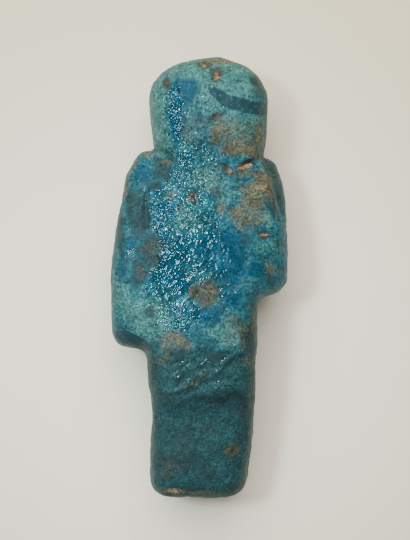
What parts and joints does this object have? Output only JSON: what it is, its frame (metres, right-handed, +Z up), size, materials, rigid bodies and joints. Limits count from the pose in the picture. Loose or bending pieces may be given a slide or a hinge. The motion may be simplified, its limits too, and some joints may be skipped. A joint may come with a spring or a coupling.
{
  "type": "ushabti figurine",
  "caption": "Small mummiform funerary figurine in turquoise glazed faience, with a bag wig and crossed arms, lying face down.",
  "frame": {"origin": "under the middle of the figurine, on the surface it lies face down on", "axes": "+Z up out of the figure's back, +Y along the body to the crown, +X to the figure's right side"},
  "size_m": [0.0362, 0.09, 0.0208],
  "materials": {
    "faience_glaze": "satin"
  },
  "bodies": {
    "root": {"ushabti_figure": "faience_glaze"}
  },
  "joints": []
}
